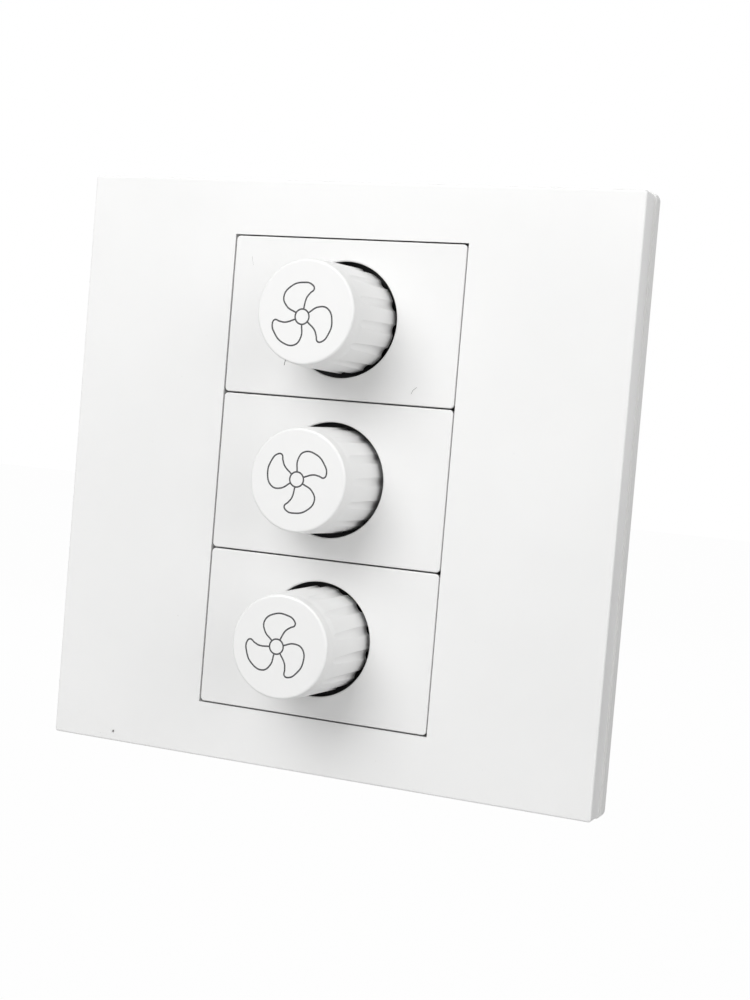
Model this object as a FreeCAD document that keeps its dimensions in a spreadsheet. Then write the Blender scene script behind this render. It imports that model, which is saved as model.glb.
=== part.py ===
import FreeCAD, Part
import math
import os
import re

import Sketcher

# A three-gang fan speed control for a standard square wall box. Lengths are millimetres.
# Each piece is drawn as seen from the room: x to the right, y up, z out of the wall, with the
# wall plane at z = 0. The finished pieces stand upright: x to the right, y into the wall, z up.

DIMENSIONS = (
    # Front panel: a square moulded cover with one opening for the three modules.
    ("panel_width", 86.0),
    ("panel_depth", 4.2),
    ("panel_front_wall", 2.0),
    ("panel_side_wall", 1.8),
    ("panel_corner_radius", 0.4),
    ("panel_edge_radius", 0.3),
    ("opening_clearance", 0.2),
    ("collar_wall", 1.2),
    ("collar_gap", 0.2),
    ("bead_length", 24.0),
    ("bead_reach", 0.5),
    ("bead_height", 1.0),
    ("bead_level", 0.9),
    ("pry_notch_width", 10.0),
    ("pry_notch_height", 0.9),
    # Mounting frame: the carrier that is screwed to the wall box.
    ("frame_ledge", 0.3),
    ("frame_rim_height", 2.8),
    ("frame_rim_width", 3.0),
    ("frame_corner_radius", 1.0),
    ("frame_edge_radius", 0.8),
    ("web_level", 1.0),
    ("web_thickness", 1.6),
    ("upstand_height", 1.9),
    ("upstand_wall", 1.2),
    ("upstand_clearance", 0.15),
    ("bead_clearance", 0.15),
    ("screw_spacing", 60.3),
    ("slot_length", 7.0),
    ("slot_width", 4.5),
    ("screw_pad_length", 14.0),
    ("screw_pad_width", 10.0),
    ("screw_pad_rise", 0.8),
    ("window_clearance", 0.3),
    # Module face: the white cap that shows in the opening, flush with the panel.
    ("module_width", 36.2),
    ("module_height", 23.0),
    ("module_gap", 0.2),
    ("face_wall", 1.5),
    ("skirt_wall", 0.9),
    ("face_corner_radius", 0.6),
    ("face_edge_radius", 0.2),
    ("knob_hole_radius", 8.4),
    ("hole_lip", 0.7),
    ("hole_relief", 0.8),
    ("hole_edge_bevel", 0.15),
    # Module case: the black box behind each face.
    ("case_clearance", 0.1),
    ("case_wall", 1.2),
    ("case_depth", 20.6),
    ("case_corner_radius", 0.8),
    ("case_setback", 2.6),
    ("deck_recess", 1.0),
    ("deck_thickness", 1.4),
    ("clip_width", 8.0),
    ("clip_reach", 0.5),
    ("clip_height", 1.0),
    ("clip_setback", 0.3),
    ("clip_clearance", 0.15),
    ("latch_width", 9.0),
    ("latch_reach", 0.9),
    ("latch_length", 2.4),
    ("latch_clearance", 0.05),
    ("rib_thickness", 1.4),
    ("rib_width", 4.0),
    ("wire_hole_radius", 2.4),
    # Rear cover of a module.
    ("cover_thickness", 1.4),
    ("plug_depth", 1.4),
    ("plug_wall", 1.0),
    ("plug_clearance", 0.1),
    ("access_radius", 3.0),
    ("vent_width", 1.4),
    ("vent_length", 8.0),
    ("vent_spacing", 3.0),
    ("vent_count", 6),
    ("vent_height", 4.0),
    # Knob: a cap with a plain front band and flared grip ridges between flutes.
    ("knob_length", 14.1),
    ("knob_face_radius", 7.3),
    ("knob_rim_radius", 0.35),
    ("knob_band_radius", 7.32),
    ("knob_band_length", 1.9),
    ("ridge_front_radius", 7.5),
    ("ridge_ramp_length", 1.1),
    ("knob_base_radius", 7.72),
    ("knob_cap", 1.4),
    ("knob_stand_top", 12.8),
    ("knob_stand_middle", 10.9),
    ("knob_stand_bottom", 12.4),
    ("knob_turn_top", 3.0),
    ("knob_turn_middle", 70.0),
    ("knob_turn_bottom", 31.0),
    ("knob_travel", 300.0),
    ("flute_count", 14),
    ("flute_radius", 1.25),
    ("flute_floor", 7.38),
    ("hub_radius", 4.4),
    ("hub_gap", 0.6),
    ("nut_clearance", 0.33),
    ("bore_clearance", 0.03),
    # Potentiometer: bush, wafer, can, rotor shaft, wiper, washer and nut.
    ("shaft_radius", 3.0),
    ("shaft_end_gap", 0.1),
    ("flat_depth", 1.5),
    ("shaft_clearance", 0.05),
    ("bush_radius", 3.5),
    ("bush_clearance", 0.1),
    ("bush_reach", 3.6),
    ("pot_radius", 7.0),
    ("pot_plate", 1.0),
    ("wafer_thickness", 1.4),
    ("wafer_bore", 3.6),
    ("wafer_lobe_width", 10.8),
    ("wafer_lobe_overhang", 0.7),
    ("can_depth", 5.6),
    ("can_wall", 0.4),
    ("stop_width", 3.0),
    ("stop_reach", 0.9),
    ("rotor_clearance", 1.2),
    ("rotor_thickness", 1.6),
    ("rotor_gap", 1.0),
    ("rotor_end_gap", 0.3),
    ("lug_width", 2.6),
    ("lug_reach", 0.6),
    ("wiper_thickness", 0.2),
    ("wiper_margin", 0.5),
    ("wiper_bore", 3.4),
    ("wiper_contact", 1.2),
    ("wiper_gap", 0.15),
    ("tag_width", 1.2),
    ("tag_thickness", 0.4),
    ("tag_pitch", 4.0),
    ("tag_foot", 0.6),
    ("tag_tail", 0.6),
    ("washer_radius", 5.6),
    ("washer_thickness", 0.5),
    ("nut_flats", 10.0),
    ("nut_sides", 6),
    ("nut_thickness", 2.0),
    # Circuit board and what stands on it.
    ("board_clearance", 0.2),
    ("board_level", 6.4),
    ("board_thickness", 1.6),
    ("notch_clearance", 0.2),
    ("triac_width", 10.0),
    ("triac_body", 9.0),
    ("triac_thickness", 4.4),
    ("triac_tab", 6.3),
    ("triac_tab_thickness", 1.3),
    ("triac_start", -3.0),
    ("triac_rise", 1.0),
    ("triac_wall_gap", 0.3),
    ("lead_width", 0.9),
    ("lead_thickness", 0.5),
    ("lead_pitch", 2.54),
    ("lead_reach", 3.0),
    ("sink_thickness", 1.5),
    ("sink_width", 9.8),
    ("sink_margin", 1.2),
    ("sink_end_gap", 0.3),
    ("peg_radius", 1.6),
    ("peg_clearance", 0.1),
    ("capacitor_length", 12.0),
    ("capacitor_width", 4.4),
    ("capacitor_height", 9.0),
    ("capacitor_gap", 0.5),
    ("capacitor_radius", 0.6),
    ("choke_radius", 3.6),
    ("choke_height", 8.0),
    ("choke_flange", 1.2),
    ("choke_lip", 0.6),
    ("choke_gap", 0.5),
    ("clamp_width", 7.0),
    ("clamp_breadth", 5.4),
    ("clamp_gap", 0.2),
    ("clamp_leg", 1.6),
    ("clamp_leg_width", 3.0),
    ("clamp_leg_thickness", 1.2),
    ("clamp_wire_radius", 2.0),
    ("terminal_gap", 0.3),
    ("terminal_screw_radius", 1.7),
    ("screw_clearance", 0.05),
    ("screw_head_radius", 2.7),
    ("screw_head_height", 1.8),
    ("screw_head_gap", 1.6),
    ("screw_backed_out", 0.6),
    ("screw_bite", 1.4),
    ("screw_slot_width", 0.8),
    ("screw_slot_depth", 0.8),
)

document = FreeCAD.newDocument("fan_speed_control")
sizes = document.addObject("Spreadsheet::Sheet", "sizes")
for row, (alias, number) in enumerate(DIMENSIONS, start=1):
    sizes.set(f"A{row}", alias.replace("_", " "))
    sizes.set(f"B{row}", str(number))
    sizes.setAlias(f"B{row}", alias)
document.recompute()

# Levels and spans that several pieces share.
FRONT = "(frame_rim_height + panel_depth)"
WEB_FRONT = "(web_level + web_thickness)"
PITCH = "(module_height + module_gap)"
PANEL_INSIDE = "(panel_width - 2 * panel_side_wall)"
CASE_WIDTH = "(module_width - 2 * skirt_wall - 2 * case_clearance)"
CASE_HEIGHT = "(module_height - 2 * skirt_wall - 2 * case_clearance)"
INSIDE_WIDTH = f"({CASE_WIDTH} - 2 * case_wall)"
INSIDE_HEIGHT = f"({CASE_HEIGHT} - 2 * case_wall)"
CASE_FRONT = f"({FRONT} - case_setback)"
DECK_FRONT = f"({CASE_FRONT} - deck_recess)"
DECK_BACK = f"({DECK_FRONT} - deck_thickness)"
PLATE_BACK = f"({DECK_BACK} - pot_plate)"
WAFER_BACK = f"({PLATE_BACK} - wafer_thickness)"
ROTOR_FRONT = f"({WAFER_BACK} - rotor_gap)"
CAN_INSIDE_BACK = f"({WAFER_BACK} - can_depth + can_wall)"
LOBE_REACH = "(pot_radius + wafer_lobe_overhang)"
ROTOR_RADIUS = "(pot_radius - can_wall - rotor_clearance)"
BUSH_FRONT = f"({DECK_FRONT} + bush_reach)"
LOWEST_STAND = "min(knob_stand_top; knob_stand_middle; knob_stand_bottom)"
SHAFT_TIP = f"({FRONT} + {LOWEST_STAND} - knob_cap - shaft_end_gap)"
HUB_RECESS = f"({BUSH_FRONT} + hub_gap - ({FRONT} + {LOWEST_STAND} - knob_length))"
NUT_RADIUS = "(nut_flats / 2 / cos(180 / nut_sides))"
BOARD_BACK = "(-board_level - board_thickness)"
CLAMP_FRONT = f"({BOARD_BACK} - clamp_leg)"
CLAMP_BACK = "(screw_head_gap + screw_head_height + screw_backed_out - case_depth)"
WIRE_LEVEL = f"(({CLAMP_FRONT} + {CLAMP_BACK}) / 2)"
TERMINAL_X = f"({INSIDE_WIDTH} / 2 - clamp_gap - clamp_width / 2)"
TERMINAL_Y = f"(clamp_breadth / 2 + terminal_gap - {INSIDE_HEIGHT} / 2)"
TRIAC_BACK = f"({BOARD_BACK} - triac_rise - triac_thickness)"
TRIAC_Y = f"({INSIDE_HEIGHT} / 2 - triac_wall_gap - triac_width / 2)"

START, END, CENTRE = range(1, 4)
ORIGIN = (-1, START)
TOLERANCE = 1e-4
FULL_TURN = 360

sub_parts = []


def formula(text):
    """An expression on the sheet: each name with an underscore in it is one of its cells."""
    return re.sub(r"\b([a-z]+(?:_[a-z]+)+)\b", r"sizes.\1", text)


def tie(thing, **properties):
    for name, text in properties.items():
        thing.setExpression(name, formula(text))


def place_on(thing, body, role, x="0", y="0", z="0"):
    """Attach to one of the body's own planes, shifted along that plane's x, y and normal."""
    plane = next(item for item in body.Origin.OriginFeatures if item.Role == role)
    thing.AttachmentSupport = [(plane, "")]
    thing.MapMode = "FlatFace"
    for axis, text in (("x", x), ("y", y), ("z", z)):
        thing.setExpression(f".AttachmentOffset.Base.{axis}", formula(text))


def new_body(label):
    body = document.addObject("PartDesign::Body", label)
    body.Label = label
    return body


def new_sketch(body, name, role="XY_Plane", x="0", y="0", z="0"):
    sketch = body.newObject("Sketcher::SketchObject", name)
    place_on(sketch, body, role, x, y, z)
    return sketch


def hold(sketch, kind, first, first_end, second, second_end, text):
    """A driving dimension between two points of a sketch."""
    index = sketch.addConstraint(
        Sketcher.Constraint(kind, first, first_end, second, second_end, 1.0)
    )
    sketch.setExpression(f"Constraints[{index}]", formula(text))


def outline(sketch, corners):
    """A closed outline of straight lines through corners, each given as its x and y."""
    first = sketch.GeometryCount
    count = len(corners)
    guess = []
    for i in range(count):
        angle = 2 * math.pi * i / count
        guess.append(FreeCAD.Vector(math.cos(angle), math.sin(angle), 0))
    for i in range(count):
        sketch.addGeometry(Part.LineSegment(guess[i], guess[(i + 1) % count]), False)
    for i in range(count):
        following = first + (i + 1) % count
        sketch.addConstraint(
            Sketcher.Constraint("Coincident", first + i, END, following, START)
        )
    for i, (x, y) in enumerate(corners):
        hold(sketch, "DistanceX", *ORIGIN, first + i, START, x)
        hold(sketch, "DistanceY", *ORIGIN, first + i, START, y)
    return sketch


def rectangle(sketch, width, height):
    """A rectangle centred on the sketch's origin."""
    right = f"({width}) / 2"
    top = f"({height}) / 2"
    corners = [
        (f"-{right}", f"-{top}"),
        (right, f"-{top}"),
        (right, top),
        (f"-{right}", top),
    ]
    return outline(sketch, corners)


def circle(sketch, radius):
    index = sketch.addGeometry(
        Part.Circle(FreeCAD.Vector(0, 0, 0), FreeCAD.Vector(0, 0, 1), 1.0), False
    )
    sketch.addConstraint(
        Sketcher.Constraint("Coincident", index, CENTRE, *ORIGIN)
    )
    size = sketch.addConstraint(Sketcher.Constraint("Radius", index, 1.0))
    sketch.setExpression(f"Constraints[{size}]", formula(radius))
    return sketch


def slot(sketch, length, width):
    """A slot along x with round ends, centred on the sketch's origin."""
    up = FreeCAD.Vector(0, 0, 1)
    ends = []
    for side in (-1, 1):
        middle = FreeCAD.Vector(side, 0, 0)
        start = math.pi / 2 if side < 0 else -math.pi / 2
        arc = Part.ArcOfCircle(Part.Circle(middle, up, 1.0), start, start + math.pi)
        ends.append(sketch.addGeometry(arc, False))
    left, right = ends
    bottom = sketch.addGeometry(
        Part.LineSegment(FreeCAD.Vector(-1, -1, 0), FreeCAD.Vector(1, -1, 0)), False
    )
    top = sketch.addGeometry(
        Part.LineSegment(FreeCAD.Vector(1, 1, 0), FreeCAD.Vector(-1, 1, 0)), False
    )
    joints = (
        (left, END, bottom, START),
        (bottom, END, right, START),
        (right, END, top, START),
        (top, END, left, START),
    )
    for joint in joints:
        sketch.addConstraint(Sketcher.Constraint("Tangent", *joint))
    sketch.addConstraint(Sketcher.Constraint("Equal", left, right))
    size = sketch.addConstraint(Sketcher.Constraint("Radius", left, 1.0))
    sketch.setExpression(f"Constraints[{size}]", formula(f"({width}) / 2"))
    half = f"(({length}) - ({width})) / 2"
    hold(sketch, "DistanceX", *ORIGIN, right, CENTRE, half)
    hold(sketch, "DistanceX", left, CENTRE, *ORIGIN, half)
    hold(sketch, "DistanceY", *ORIGIN, right, CENTRE, "0")
    hold(sketch, "DistanceY", *ORIGIN, left, CENTRE, "0")
    return sketch


def flatted_circle(sketch, radius, flat):
    """The section of a round shaft with one flat, at x = flat."""
    up = FreeCAD.Vector(0, 0, 1)
    nose = Part.ArcOfCircle(
        Part.Circle(FreeCAD.Vector(0, 0, 0), up, 1.0), math.pi / 3, -math.pi / 3
    )
    arc = sketch.addGeometry(nose, False)
    line = sketch.addGeometry(
        Part.LineSegment(nose.EndPoint, nose.StartPoint), False
    )
    sketch.addConstraint(Sketcher.Constraint("Coincident", arc, END, line, START))
    sketch.addConstraint(Sketcher.Constraint("Coincident", line, END, arc, START))
    sketch.addConstraint(
        Sketcher.Constraint("Coincident", arc, CENTRE, *ORIGIN)
    )
    sketch.addConstraint(Sketcher.Constraint("Vertical", line))
    size = sketch.addConstraint(Sketcher.Constraint("Radius", arc, 1.0))
    sketch.setExpression(f"Constraints[{size}]", formula(radius))
    hold(sketch, "DistanceX", *ORIGIN, line, START, flat)
    return sketch


def pad(body, sketch, length, down=False, both_ways=False):
    feature = body.newObject("PartDesign::Pad", f"{sketch.Name}_pad")
    feature.Profile = sketch
    feature.Reversed = down
    if both_ways:
        feature.SideType = "Symmetric"
    tie(feature, Length=length)
    document.recompute()
    return feature


def checked_cut(body, feature, before):
    """A cut has to take something away."""
    document.recompute()
    if body.Shape.Volume > before - TOLERANCE:
        raise RuntimeError(f"{feature.Label} cuts nothing")
    return feature


def pocket(body, sketch, length, up=False):
    before = body.Shape.Volume
    feature = body.newObject("PartDesign::Pocket", f"{sketch.Name}_cut")
    feature.Profile = sketch
    feature.Reversed = up
    tie(feature, Length=length)
    return checked_cut(body, feature, before)


def turned(body, sketch):
    """A solid of revolution about the piece's own z axis."""
    feature = body.newObject("PartDesign::Revolution", f"{sketch.Name}_turned")
    feature.Profile = sketch
    feature.ReferenceAxis = (sketch, ["V_Axis"])
    feature.Angle = FULL_TURN
    document.recompute()
    return feature


def block(body, name, x, y, z, cut=False):
    """A box between two limits on each axis, added to the body or cut from it."""
    before = body.Shape.Volume if cut else 0
    kind = "SubtractiveBox" if cut else "AdditiveBox"
    feature = body.newObject(f"PartDesign::{kind}", name)
    place_on(feature, body, "XY_Plane", x[0], y[0], z[0])
    tie(
        feature,
        Length=f"({x[1]}) - ({x[0]})",
        Width=f"({y[1]}) - ({y[0]})",
        Height=f"({z[1]}) - ({z[0]})",
    )
    if cut:
        return checked_cut(body, feature, before)
    document.recompute()
    return feature


def drill(body, name, role, radius, reach, x="0", y="0", z="0"):
    """A round hole along the normal of one of the body's planes, from a point to a reach each way."""
    before = body.Shape.Volume
    feature = body.newObject("PartDesign::SubtractiveCylinder", name)
    place_on(feature, body, role, x, y, f"{z} - ({reach})")
    tie(feature, Radius=radius, Height=f"2 * ({reach})")
    return checked_cut(body, feature, before)


def mirrored(body, feature):
    """The same feature again on the left."""
    copy = body.newObject("PartDesign::Mirrored", f"{feature.Name}_left")
    copy.Originals = [feature]
    copy.MirrorPlane = (
        next(item for item in body.Origin.OriginFeatures if item.Role == "YZ_Plane"),
        [""],
    )
    body.Tip = copy
    document.recompute()
    return copy


def edges_where(feature, test):
    """The names of a feature's edges that pass a test on their bounding boxes."""
    names = []
    for i, edge in enumerate(feature.Shape.Edges, start=1):
        if test(edge.BoundBox):
            names.append(f"Edge{i}")
    return names


def rounded(body, test, radius, name):
    """Round the edges of the body's last feature that pass a test."""
    base = body.Tip
    edges = edges_where(base, test)
    if not edges:
        raise RuntimeError(f"{name} finds no edge")
    feature = body.newObject("PartDesign::Fillet", name)
    feature.Base = (base, edges)
    tie(feature, Radius=radius)
    document.recompute()
    return feature


def bevelled(body, test, size, name):
    """Bevel the edges of the body's last feature that pass a test."""
    base = body.Tip
    edges = edges_where(base, test)
    if not edges:
        raise RuntimeError(f"{name} finds no edge")
    feature = body.newObject("PartDesign::Chamfer", name)
    feature.Base = (base, edges)
    tie(feature, Size=size)
    document.recompute()
    return feature


def near(first, second):
    return abs(first - second) < TOLERANCE


def corner_edges(shape):
    """A test for the edges along z at the four outer corners of a shape."""
    whole = shape.BoundBox

    def test(box):
        upright = near(box.XLength, 0) and near(box.YLength, 0)
        on_side = near(abs(box.XMin), whole.XMax)
        return upright and on_side and near(abs(box.YMin), whole.YMax)

    return test


def rim_edges(shape, front=True):
    """A test for the outer edges round the front or the back of a shape."""
    whole = shape.BoundBox
    level = whole.ZMax if front else whole.ZMin

    def test(box):
        flat = near(box.ZLength, 0) and near(box.ZMin, level)
        wide = near(max(box.XMax, -box.XMin), whole.XMax)
        tall = near(max(box.YMax, -box.YMin), whole.YMax)
        return flat and (wide or tall)

    return test


def hole_edges(level, reach):
    """A test for edges at one level, inside a given reach from the axis."""

    def test(box):
        flat = near(box.ZLength, 0) and near(box.ZMin, level)
        return flat and max(box.XMax, -box.XMin) < reach + TOLERANCE

    return test


def hand_in(piece, row=0, turn="0"):
    """Stand a finished piece upright at its module's height and list it as a sub-part."""
    upright = "rotation(vector(1; 0; 0); 90)"
    spin = f"rotation(vector(0; 0; 1); {turn})"
    tie(piece, Placement=f"placement(vector(0; 0; {row} * {PITCH}); {upright} * {spin})")
    sub_parts.append(piece)


def group(label, pieces):
    """Separate solids of one kind that share a sub-part."""
    compound = document.addObject("Part::Compound", label)
    compound.Label = label
    compound.Links = pieces
    document.recompute()
    return compound


def left_copy(piece):
    copy = document.addObject("Part::Mirroring", f"{piece.Name}_left")
    copy.Source = piece
    copy.Base = FreeCAD.Vector(0, 0, 0)
    copy.Normal = FreeCAD.Vector(1, 0, 0)
    document.recompute()
    return copy


def make_front_panel():
    """Square cover, hollow behind, with a collar round the opening and two snap beads."""
    body = new_body("front_panel")
    plate = rectangle(
        new_sketch(body, "panel_outline", z="frame_rim_height"),
        "panel_width",
        "panel_width",
    )
    pad(body, plate, "panel_depth")
    rounded(body, corner_edges(body.Shape), "panel_corner_radius", "panel_corners")
    rounded(body, rim_edges(body.Shape), "panel_edge_radius", "panel_front_edge")
    hollow = rectangle(
        new_sketch(body, "panel_hollow", z="frame_rim_height"), PANEL_INSIDE, PANEL_INSIDE
    )
    pocket(body, hollow, "panel_depth - panel_front_wall", up=True)
    width = "(module_width + 2 * opening_clearance)"
    height = f"(2 * {PITCH} + module_height + 2 * opening_clearance)"
    inner_face = f"({FRONT} - panel_front_wall)"
    collar = rectangle(
        new_sketch(body, "panel_collar", z=inner_face),
        f"{width} + 2 * collar_wall",
        f"{height} + 2 * collar_wall",
    )
    pad(body, collar, f"{inner_face} - {WEB_FRONT} - collar_gap", down=True)
    opening = rectangle(new_sketch(body, "panel_opening", z=FRONT), width, height)
    pocket(body, opening, "panel_depth")
    bead = outline(
        new_sketch(body, "panel_bead", "XZ_Plane"),
        [
            (f"{PANEL_INSIDE} / 2", "frame_rim_height + bead_level - bead_height / 2"),
            (f"{PANEL_INSIDE} / 2", "frame_rim_height + bead_level + bead_height / 2"),
            (f"{PANEL_INSIDE} / 2 - bead_reach", "frame_rim_height + bead_level"),
        ],
    )
    mirrored(body, pad(body, bead, "bead_length", both_ways=True))
    block(
        body,
        "panel_pry_notch",
        ("-pry_notch_width / 2", "pry_notch_width / 2"),
        ("-panel_width / 2 - panel_side_wall", f"-{PANEL_INSIDE} / 2 + panel_side_wall / 2"),
        ("frame_rim_height - pry_notch_height", "frame_rim_height + pry_notch_height"),
        cut=True,
    )
    hand_in(body)


def make_mounting_frame():
    """Carrier with a rim on the wall, a web set in from it, and windows for the modules."""
    body = new_body("mounting_frame")
    frame_width = "(panel_width + 2 * frame_ledge)"
    rim = rectangle(new_sketch(body, "frame_rim"), frame_width, frame_width)
    pad(body, rim, "frame_rim_height")
    rounded(body, corner_edges(body.Shape), "frame_corner_radius", "frame_corners")
    rounded(body, rim_edges(body.Shape, front=False), "frame_edge_radius", "frame_back_edge")
    inside = f"({frame_width} - 2 * frame_rim_width)"
    behind = rectangle(new_sketch(body, "frame_recess"), inside, inside)
    pocket(body, behind, "web_level", up=True)
    before = rectangle(new_sketch(body, "frame_well", z="frame_rim_height"), inside, inside)
    pocket(body, before, f"frame_rim_height - {WEB_FRONT}")
    upstand_outside = f"({PANEL_INSIDE} - 2 * upstand_clearance)"
    upstand = new_sketch(body, "frame_upstand", z=WEB_FRONT)
    rectangle(upstand, upstand_outside, upstand_outside)
    upstand_inside = f"{upstand_outside} - 2 * upstand_wall"
    rectangle(upstand, upstand_inside, upstand_inside)
    pad(body, upstand, f"frame_rim_height - {WEB_FRONT} + upstand_height")
    level = "frame_rim_height + bead_level"
    reach = "bead_height / 2 + bead_clearance"
    window = block(
        body,
        "frame_bead_window",
        (f"{upstand_outside} / 2 - 2 * upstand_wall", f"{upstand_outside} / 2 + upstand_wall"),
        ("-bead_length / 2 - bead_clearance", "bead_length / 2 + bead_clearance"),
        (f"{level} - {reach}", f"{level} + {reach}"),
        cut=True,
    )
    mirrored(body, window)
    for side, sign in (("right", ""), ("left", "-")):
        shift = f"{sign}screw_spacing / 2"
        seat = new_sketch(body, f"frame_screw_pad_{side}", x=shift)
        rectangle(seat, "screw_pad_length", "screw_pad_width")
        pad(body, seat, f"{WEB_FRONT} + screw_pad_rise")
        hole = new_sketch(body, f"frame_screw_slot_{side}", x=shift)
        slot(hole, "slot_length", "slot_width")
        pocket(body, hole, f"{WEB_FRONT} + screw_pad_rise", up=True)
    for name, row in ROWS:
        opening = new_sketch(body, f"frame_window_{name}", y=f"{row} * {PITCH}", z="web_level")
        rectangle(
            opening,
            f"{CASE_WIDTH} + 2 * window_clearance",
            f"{CASE_HEIGHT} + 2 * window_clearance",
        )
        pocket(body, opening, "web_thickness", up=True)
    hand_in(body)


def make_module_face(name, row):
    """White cap with a round knob hole, its skirt standing on the frame's web."""
    body = new_body(f"module_face_{name}")
    plate = new_sketch(body, f"face_outline_{name}", z=WEB_FRONT)
    rectangle(plate, "module_width", "module_height")
    pad(body, plate, f"{FRONT} - {WEB_FRONT}")
    rounded(body, corner_edges(body.Shape), "face_corner_radius", f"face_corners_{name}")
    rounded(body, rim_edges(body.Shape), "face_edge_radius", f"face_front_edge_{name}")
    hollow = new_sketch(body, f"face_hollow_{name}", z=WEB_FRONT)
    rectangle(hollow, "module_width - 2 * skirt_wall", "module_height - 2 * skirt_wall")
    pocket(body, hollow, f"{FRONT} - {WEB_FRONT} - face_wall", up=True)
    hole = circle(new_sketch(body, f"face_hole_{name}", z=FRONT), "knob_hole_radius")
    pocket(body, hole, "face_wall")
    relief = new_sketch(body, f"face_hole_relief_{name}", z=f"{FRONT} - face_wall")
    circle(relief, "knob_hole_radius + hole_relief")
    pocket(body, relief, "face_wall - hole_lip", up=True)
    edge = hole_edges(body.Shape.BoundBox.ZMax, sizes.knob_hole_radius)
    bevelled(body, edge, "hole_edge_bevel", f"face_hole_edge_{name}")
    block(
        body,
        f"face_clip_window_{name}",
        ("-module_width", "module_width"),
        ("-clip_width / 2 - clip_clearance", "clip_width / 2 + clip_clearance"),
        (
            f"{CASE_FRONT} - clip_setback - clip_height - clip_clearance",
            f"{CASE_FRONT} - clip_setback + clip_clearance",
        ),
        cut=True,
    )
    hand_in(body, row)


def make_module_case(name, row):
    """Black box with the potentiometer's deck sunk in its front, clips, latches and wire entries."""
    body = new_body(f"module_case_{name}")
    shell = new_sketch(body, f"case_outline_{name}", z="-case_depth")
    rectangle(shell, CASE_WIDTH, CASE_HEIGHT)
    pad(body, shell, f"case_depth + {CASE_FRONT}")
    rounded(body, corner_edges(body.Shape), "case_corner_radius", f"case_corners_{name}")
    hollow = new_sketch(body, f"case_hollow_{name}", z="-case_depth")
    rectangle(hollow, INSIDE_WIDTH, INSIDE_HEIGHT)
    pocket(body, hollow, f"case_depth + {DECK_BACK}", up=True)
    well = new_sketch(body, f"case_well_{name}", z=CASE_FRONT)
    rectangle(well, INSIDE_WIDTH, INSIDE_HEIGHT)
    pocket(body, well, "deck_recess")
    drill(
        body,
        f"case_bush_hole_{name}",
        "XY_Plane",
        "bush_radius + bush_clearance",
        "deck_thickness",
        z=f"{DECK_BACK} + deck_thickness / 2",
    )
    side = f"{CASE_WIDTH} / 2"
    clip_top = f"{CASE_FRONT} - clip_setback"
    clip = outline(
        new_sketch(body, f"case_clip_{name}", "XZ_Plane"),
        [
            (side, clip_top),
            (side, f"{clip_top} - clip_height"),
            (f"{side} + clip_reach", f"{clip_top} - clip_height"),
        ],
    )
    mirrored(body, pad(body, clip, "clip_width", both_ways=True))
    latch_top = "web_level - latch_clearance"
    latch = outline(
        new_sketch(body, f"case_latch_{name}", "XZ_Plane"),
        [
            (side, latch_top),
            (f"{side} + latch_reach", latch_top),
            (side, f"{latch_top} - latch_length"),
        ],
    )
    mirrored(body, pad(body, latch, "latch_width", both_ways=True))
    rib = block(
        body,
        f"case_board_rib_{name}",
        (f"{INSIDE_WIDTH} / 2 - rib_thickness", f"{INSIDE_WIDTH} / 2"),
        ("-rib_width / 2", "rib_width / 2"),
        ("-board_level", DECK_BACK),
    )
    mirrored(body, rib)
    drill(
        body,
        f"case_wire_holes_{name}",
        "YZ_Plane",
        "wire_hole_radius",
        CASE_WIDTH,
        x=TERMINAL_Y,
        y=WIRE_LEVEL,
    )
    hand_in(body, row)


def make_rear_cover(name, row):
    """Back plate of a module, plugged into the case, vented, with two screwdriver holes."""
    body = new_body(f"rear_cover_{name}")
    plate = new_sketch(body, f"cover_outline_{name}", z="-case_depth")
    rectangle(plate, CASE_WIDTH, CASE_HEIGHT)
    pad(body, plate, "cover_thickness", down=True)
    rounded(body, corner_edges(body.Shape), "case_corner_radius", f"cover_corners_{name}")
    plug = new_sketch(body, f"cover_plug_{name}", z="-case_depth")
    width = f"{INSIDE_WIDTH} - 2 * plug_clearance"
    height = f"{INSIDE_HEIGHT} - 2 * plug_clearance"
    rectangle(plug, width, height)
    rectangle(plug, f"{width} - 2 * plug_wall", f"{height} - 2 * plug_wall")
    pad(body, plug, "plug_depth")
    block(
        body,
        f"cover_plug_gap_{name}",
        (f"-{INSIDE_WIDTH} / 2", f"{INSIDE_WIDTH} / 2"),
        (f"-{INSIDE_HEIGHT} / 2", f"{TERMINAL_Y} + access_radius + plug_clearance"),
        ("-case_depth", "plug_depth + plug_clearance - case_depth"),
        cut=True,
    )
    for side, sign in (("right", ""), ("left", "-")):
        drill(
            body,
            f"cover_access_{side}_{name}",
            "XY_Plane",
            "access_radius",
            "cover_thickness",
            x=f"{sign}{TERMINAL_X}",
            y=TERMINAL_Y,
            z="-case_depth - cover_thickness / 2",
        )
    first = "-(vent_count - 1) / 2 * vent_spacing"
    vent = new_sketch(body, f"cover_vent_{name}", x=first, y="vent_height", z="-case_depth")
    rectangle(vent, "vent_width", "vent_length")
    cut = pocket(body, vent, "cover_thickness")
    row_of_vents = body.newObject("PartDesign::LinearPattern", f"cover_vents_{name}")
    row_of_vents.Originals = [cut]
    row_of_vents.Direction = (vent, ["H_Axis"])
    tie(
        row_of_vents,
        Length="(vent_count - 1) * vent_spacing",
        Occurrences="vent_count",
    )
    body.Tip = row_of_vents
    document.recompute()
    hand_in(body, row)


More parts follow.
